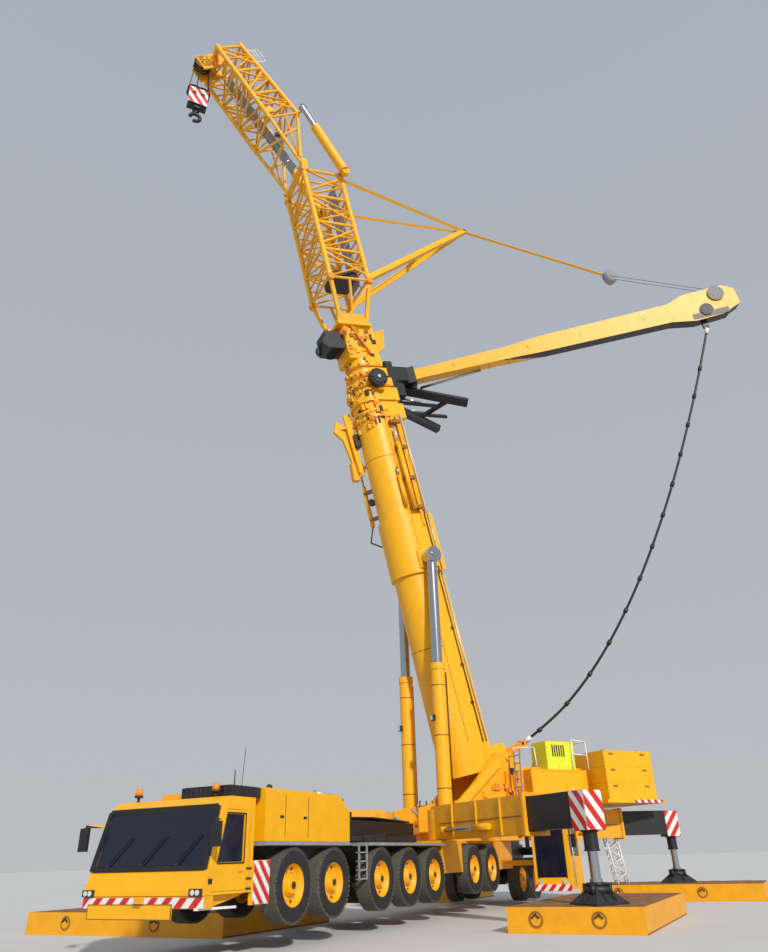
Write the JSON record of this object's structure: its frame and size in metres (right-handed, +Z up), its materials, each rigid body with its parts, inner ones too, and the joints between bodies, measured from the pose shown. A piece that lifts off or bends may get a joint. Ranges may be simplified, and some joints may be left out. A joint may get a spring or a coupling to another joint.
{
  "type": "mobile crane",
  "caption": "Heavy road-going telescopic crane on outriggers and load mats, boom raised, with a lattice luffing jib, guy mast, counterweight and hook block.",
  "frame": {"origin": "centre of the slewing ring, on the ground the load mats lie on", "axes": "+X to the carrier's front, +Y to its left, +Z up"},
  "size_m": [23.77, 22.4861, 38.1246],
  "materials": {
    "yellow_paint": "glossy yellow machine paint, a little worn",
    "black_steel": "black painted steel",
    "grey_paint": "grey painted steel",
    "chrome_rod": "polished cylinder rod",
    "tyre": "dusty tread",
    "mat_wood": "worn timber in yellow steel edging",
    "cab_glass": "clear cab glass",
    "cab_trim": "dark cab trim and seats",
    "hook_paint": "white plates with red stripes",
    "guy_steel": "black linked guy bars"
  },
  "bodies": {
    "carrier": {"carrier_frame": "yellow_paint", "carrier_axles": "black_steel", "carrier_deck": "black_steel", "engine_housing": "yellow_paint", "carrier_cab": "yellow_paint", "carrier_cab_glass": "cab_glass", "carrier_cab_interior": "cab_trim", "outrigger_mats": "mat_wood", "crane_cab": "yellow_paint"},
    "wheel_1_left": {"wheel_1_left": "tyre"},
    "knuckle_1_left": {"knuckle_1_left": "black_steel"},
    "wheel_1_right": {"wheel_1_right": "tyre"},
    "knuckle_1_right": {"knuckle_1_right": "black_steel"},
    "wheel_2_left": {"wheel_2_left": "tyre"},
    "knuckle_2_left": {"knuckle_2_left": "black_steel"},
    "wheel_2_right": {"wheel_2_right": "tyre"},
    "knuckle_2_right": {"knuckle_2_right": "black_steel"},
    "wheel_3_left": {"wheel_3_left": "tyre"},
    "wheel_3_right": {"wheel_3_right": "tyre"},
    "wheel_4_left": {"wheel_4_left": "tyre"},
    "wheel_4_right": {"wheel_4_right": "tyre"},
    "wheel_5_left": {"wheel_5_left": "tyre"},
    "wheel_5_right": {"wheel_5_right": "tyre"},
    "wheel_6_left": {"wheel_6_left": "tyre"},
    "wheel_6_right": {"wheel_6_right": "tyre"},
    "wheel_7_left": {"wheel_7_left": "tyre"},
    "wheel_7_right": {"wheel_7_right": "tyre"},
    "wheel_8_left": {"wheel_8_left": "tyre"},
    "wheel_8_right": {"wheel_8_right": "tyre"},
    "wheel_9_left": {"wheel_9_left": "tyre"},
    "wheel_9_right": {"wheel_9_right": "tyre"},
    "door_left": {"cab_door_left": "yellow_paint"},
    "door_right": {"cab_door_right": "yellow_paint"},
    "arm_front_left": {"outrigger_arm_front_left": "yellow_paint"},
    "beam_front_left": {"outrigger_beam_front_left": "black_steel"},
    "jack_front_left": {"outrigger_jack_front_left": "chrome_rod"},
    "arm_front_right": {"outrigger_arm_front_right": "yellow_paint"},
    "beam_front_right": {"outrigger_beam_front_right": "black_steel"},
    "jack_front_right": {"outrigger_jack_front_right": "chrome_rod"},
    "arm_rear_left": {"outrigger_arm_rear_left": "yellow_paint"},
    "beam_rear_left": {"outrigger_beam_rear_left": "black_steel"},
    "jack_rear_left": {"outrigger_jack_rear_left": "chrome_rod"},
    "arm_rear_right": {"outrigger_arm_rear_right": "yellow_paint"},
    "beam_rear_right": {"outrigger_beam_rear_right": "black_steel"},
    "jack_rear_right": {"outrigger_jack_rear_right": "chrome_rod"},
    "turntable": {"turntable": "yellow_paint", "counterweight": "yellow_paint"},
    "luff_barrels": {"luff_cylinder_barrels": "yellow_paint"},
    "luff_rods": {"luff_cylinder_rods": "chrome_rod"},
    "boom_base": {"boom_base": "yellow_paint", "guy_mast": "yellow_paint", "guy_chain": "guy_steel"},
    "boom_section_1": {"boom_section_1": "yellow_paint"},
    "boom_section_2": {"boom_section_2": "yellow_paint"},
    "boom_section_3": {"boom_section_3": "yellow_paint", "jib_mast": "yellow_paint"},
    "jib_head": {"jib_head": "yellow_paint"},
    "jib_barrels": {"jib_cylinder_barrels": "yellow_paint"},
    "jib_rods": {"jib_cylinder_rods": "chrome_rod"},
    "hook_block": {"hook_block": "hook_paint"}
  },
  "joints": [
    {"name": "steer_1_left", "type": "hinge", "parent": "carrier", "child": "knuckle_1_left", "pos_m": [11.3, 0.88, 1.14], "axis": [0, 0, 1], "range_deg": [-25, 25]},
    {"name": "roll_1_left", "type": "hinge", "parent": "knuckle_1_left", "child": "wheel_1_left", "pos_m": [11.3, 1.26, 1.14], "axis": [0, 1, 0], "continuous": true},
    {"name": "steer_1_right", "type": "hinge", "parent": "carrier", "child": "knuckle_1_right", "pos_m": [11.3, -0.88, 1.14], "axis": [0, 0, 1], "range_deg": [-25, 25]},
    {"name": "roll_1_right", "type": "hinge", "parent": "knuckle_1_right", "child": "wheel_1_right", "pos_m": [11.3, -1.26, 1.14], "axis": [0, 1, 0], "continuous": true},
    {"name": "steer_2_left", "type": "hinge", "parent": "carrier", "child": "knuckle_2_left", "pos_m": [9.65, 0.88, 1.14], "axis": [0, 0, 1], "range_deg": [-25, 25]},
    {"name": "roll_2_left", "type": "hinge", "parent": "knuckle_2_left", "child": "wheel_2_left", "pos_m": [9.65, 1.26, 1.14], "axis": [0, 1, 0], "continuous": true},
    {"name": "steer_2_right", "type": "hinge", "parent": "carrier", "child": "knuckle_2_right", "pos_m": [9.65, -0.88, 1.14], "axis": [0, 0, 1], "range_deg": [-25, 25]},
    {"name": "roll_2_right", "type": "hinge", "parent": "knuckle_2_right", "child": "wheel_2_right", "pos_m": [9.65, -1.26, 1.14], "axis": [0, 1, 0], "continuous": true},
    {"name": "roll_3_left", "type": "hinge", "parent": "carrier", "child": "wheel_3_left", "pos_m": [7.3, 1.26, 1.14], "axis": [0, 1, 0], "continuous": true},
    {"name": "roll_3_right", "type": "hinge", "parent": "carrier", "child": "wheel_3_right", "pos_m": [7.3, -1.26, 1.14], "axis": [0, 1, 0], "continuous": true},
    {"name": "roll_4_left", "type": "hinge", "parent": "carrier", "child": "wheel_4_left", "pos_m": [5.65, 1.26, 1.14], "axis": [0, 1, 0], "continuous": true},
    {"name": "roll_4_right", "type": "hinge", "parent": "carrier", "child": "wheel_4_right", "pos_m": [5.65, -1.26, 1.14], "axis": [0, 1, 0], "continuous": true},
    {"name": "roll_5_left", "type": "hinge", "parent": "carrier", "child": "wheel_5_left", "pos_m": [4, 1.26, 1.14], "axis": [0, 1, 0], "continuous": true},
    {"name": "roll_5_right", "type": "hinge", "parent": "carrier", "child": "wheel_5_right", "pos_m": [4, -1.26, 1.14], "axis": [0, 1, 0], "continuous": true},
    {"name": "roll_6_left", "type": "hinge", "parent": "carrier", "child": "wheel_6_left", "pos_m": [0.8, 1.26, 1.22], "axis": [0, 1, 0], "continuous": true},
    {"name": "roll_6_right", "type": "hinge", "parent": "carrier", "child": "wheel_6_right", "pos_m": [0.8, -1.26, 1.22], "axis": [0, 1, 0], "continuous": true},
    {"name": "roll_7_left", "type": "hinge", "parent": "carrier", "child": "wheel_7_left", "pos_m": [-0.85, 1.26, 1.22], "axis": [0, 1, 0], "continuous": true},
    {"name": "roll_7_right", "type": "hinge", "parent": "carrier", "child": "wheel_7_right", "pos_m": [-0.85, -1.26, 1.22], "axis": [0, 1, 0], "continuous": true},
    {"name": "roll_8_left", "type": "hinge", "parent": "carrier", "child": "wheel_8_left", "pos_m": [-4.1, 1.26, 0.78], "axis": [0, 1, 0], "continuous": true},
    {"name": "roll_8_right", "type": "hinge", "parent": "carrier", "child": "wheel_8_right", "pos_m": [-4.1, -1.26, 0.78], "axis": [0, 1, 0], "continuous": true},
    {"name": "roll_9_left", "type": "hinge", "parent": "carrier", "child": "wheel_9_left", "pos_m": [-5.75, 1.26, 0.78], "axis": [0, 1, 0], "continuous": true},
    {"name": "roll_9_right", "type": "hinge", "parent": "carrier", "child": "wheel_9_right", "pos_m": [-5.75, -1.26, 0.78], "axis": [0, 1, 0], "continuous": true},
    {"name": "door_left_hinge", "type": "hinge", "parent": "carrier", "child": "door_left", "pos_m": [13.96, 1.44, 1.8], "axis": [0, 0, -1], "range_deg": [0, 70]},
    {"name": "door_right_hinge", "type": "hinge", "parent": "carrier", "child": "door_right", "pos_m": [13.96, -1.44, 1.8], "axis": [0, 0, 1], "range_deg": [0, 70]},
    {"name": "swing_front_left", "type": "hinge", "parent": "carrier", "child": "arm_front_left", "pos_m": [2.45, 1.05, 2.5], "axis": [0, 0, 1], "range_deg": [-53.88, 0]},
    {"name": "beam_slide_front_left", "type": "slide", "parent": "arm_front_left", "child": "beam_front_left", "axis": [0.5895, 0.8078, 0], "range_m": [-0.94, 0]},
    {"name": "jack_slide_front_left", "type": "slide", "parent": "beam_front_left", "child": "jack_front_left", "axis": [0, 0, -1], "range_m": [-0.55, 0]},
    {"name": "swing_front_right", "type": "hinge", "parent": "carrier", "child": "arm_front_right", "pos_m": [2.45, -1.05, 2.5], "axis": [0, 0, -1], "range_deg": [-53.88, 0]},
    {"name": "beam_slide_front_right", "type": "slide", "parent": "arm_front_right", "child": "beam_front_right", "axis": [0.5895, -0.8078, 0], "range_m": [-0.94, 0]},
    {"name": "jack_slide_front_right", "type": "slide", "parent": "beam_front_right", "child": "jack_front_right", "axis": [0, 0, -1], "range_m": [-0.55, 0]},
    {"name": "swing_rear_left", "type": "hinge", "parent": "carrier", "child": "arm_rear_left", "pos_m": [-2.45, 1.05, 2.5], "axis": [0, 0, -1], "range_deg": [-53.88, 0]},
    {"name": "beam_slide_rear_left", "type": "slide", "parent": "arm_rear_left", "child": "beam_rear_left", "axis": [-0.5895, 0.8078, 0], "range_m": [-1.7, 0]},
    {"name": "jack_slide_rear_left", "type": "slide", "parent": "beam_rear_left", "child": "jack_rear_left", "axis": [0, 0, -1], "range_m": [-0.55, 0]},
    {"name": "swing_rear_right", "type": "hinge", "parent": "carrier", "child": "arm_rear_right", "pos_m": [-2.45, -1.05, 2.5], "axis": [0, 0, 1], "range_deg": [-53.88, 0]},
    {"name": "beam_slide_rear_right", "type": "slide", "parent": "arm_rear_right", "child": "beam_rear_right", "axis": [-0.5895, -0.8078, 0], "range_m": [-1.7, 0]},
    {"name": "jack_slide_rear_right", "type": "slide", "parent": "beam_rear_right", "child": "jack_rear_right", "axis": [0, 0, -1], "range_m": [-0.55, 0]},
    {"name": "slew", "type": "hinge", "parent": "carrier", "child": "turntable", "pos_m": [0, 0, 2.3], "axis": [0, 0, 1], "continuous": true},
    {"name": "luff", "type": "hinge", "parent": "turntable", "child": "boom_base", "pos_m": [-1.79693, 1.35408, 4.6], "axis": [-0.6018, -0.7986, 0], "range_deg": [-69, 5]},
    {"name": "luff_barrel_hinge", "type": "hinge", "parent": "turntable", "child": "luff_barrels", "pos_m": [0.39932, -0.30091, 2.7], "axis": [-0.6018, -0.7986, 0], "range_deg": [-69.6, 5.6]},
    {"name": "luff_rod_slide", "type": "slide", "parent": "luff_barrels", "child": "luff_rods", "axis": [-0.0018, 0.0014, 1], "range_m": [-3.95, 0.35]},
    {"name": "telescope_1", "type": "slide", "parent": "boom_base", "child": "boom_section_1", "axis": [0.1797, -0.1354, 0.9744], "range_m": [0, 11.2]},
    {"name": "telescope_2", "type": "slide", "parent": "boom_section_1", "child": "boom_section_2", "axis": [0.1797, -0.1354, 0.9744], "range_m": [0, 11.2]},
    {"name": "telescope_3", "type": "slide", "parent": "boom_section_2", "child": "boom_section_3", "axis": [0.1797, -0.1354, 0.9744], "range_m": [0, 11.2]},
    {"name": "jib_angle", "type": "hinge", "parent": "boom_section_3", "child": "jib_head", "pos_m": [4.96629, -3.74237, 31.27878], "axis": [0.6018, 0.7986, 0], "range_deg": [-25, 15]},
    {"name": "jib_barrel_hinge", "type": "hinge", "parent": "boom_section_3", "child": "jib_barrels", "pos_m": [3.35005, -2.52445, 31.18154], "axis": [0.6018, 0.7986, 0], "range_deg": [-20, 20]},
    {"name": "jib_rod_slide", "type": "slide", "parent": "jib_barrels", "child": "jib_rods", "axis": [0.442, -0.3331, 0.8329], "range_m": [-1.2, 0.8]},
    {"name": "hook_swing", "type": "hinge", "parent": "jib_head", "child": "hook_block", "pos_m": [9.00009, -6.78205, 36.85025], "axis": [0.6018, 0.7986, 0], "range_deg": [-75, 75]}
  ],
  "couplings": [
    {"joint": "steer_1_right", "follows": "steer_1_left", "ratio": 1},
    {"joint": "steer_2_left", "follows": "steer_1_left", "ratio": 0.8},
    {"joint": "steer_2_right", "follows": "steer_1_left", "ratio": 0.8},
    {"joint": "beam_slide_front_left", "follows": "swing_front_left", "m_per_rad": 0.98895},
    {"joint": "beam_slide_front_right", "follows": "swing_front_right", "m_per_rad": 0.98895},
    {"joint": "luff_barrel_hinge", "follows": "luff", "ratio": 0.99729},
    {"joint": "luff_rod_slide", "follows": "luff", "m_per_rad": 3.1441},
    {"joint": "jib_barrel_hinge", "follows": "jib_angle", "ratio": 0.75383},
    {"joint": "jib_rod_slide", "follows": "jib_angle", "m_per_rad": 1.7946},
    {"joint": "hook_swing", "follows": "luff", "ratio": 1}
  ]
}
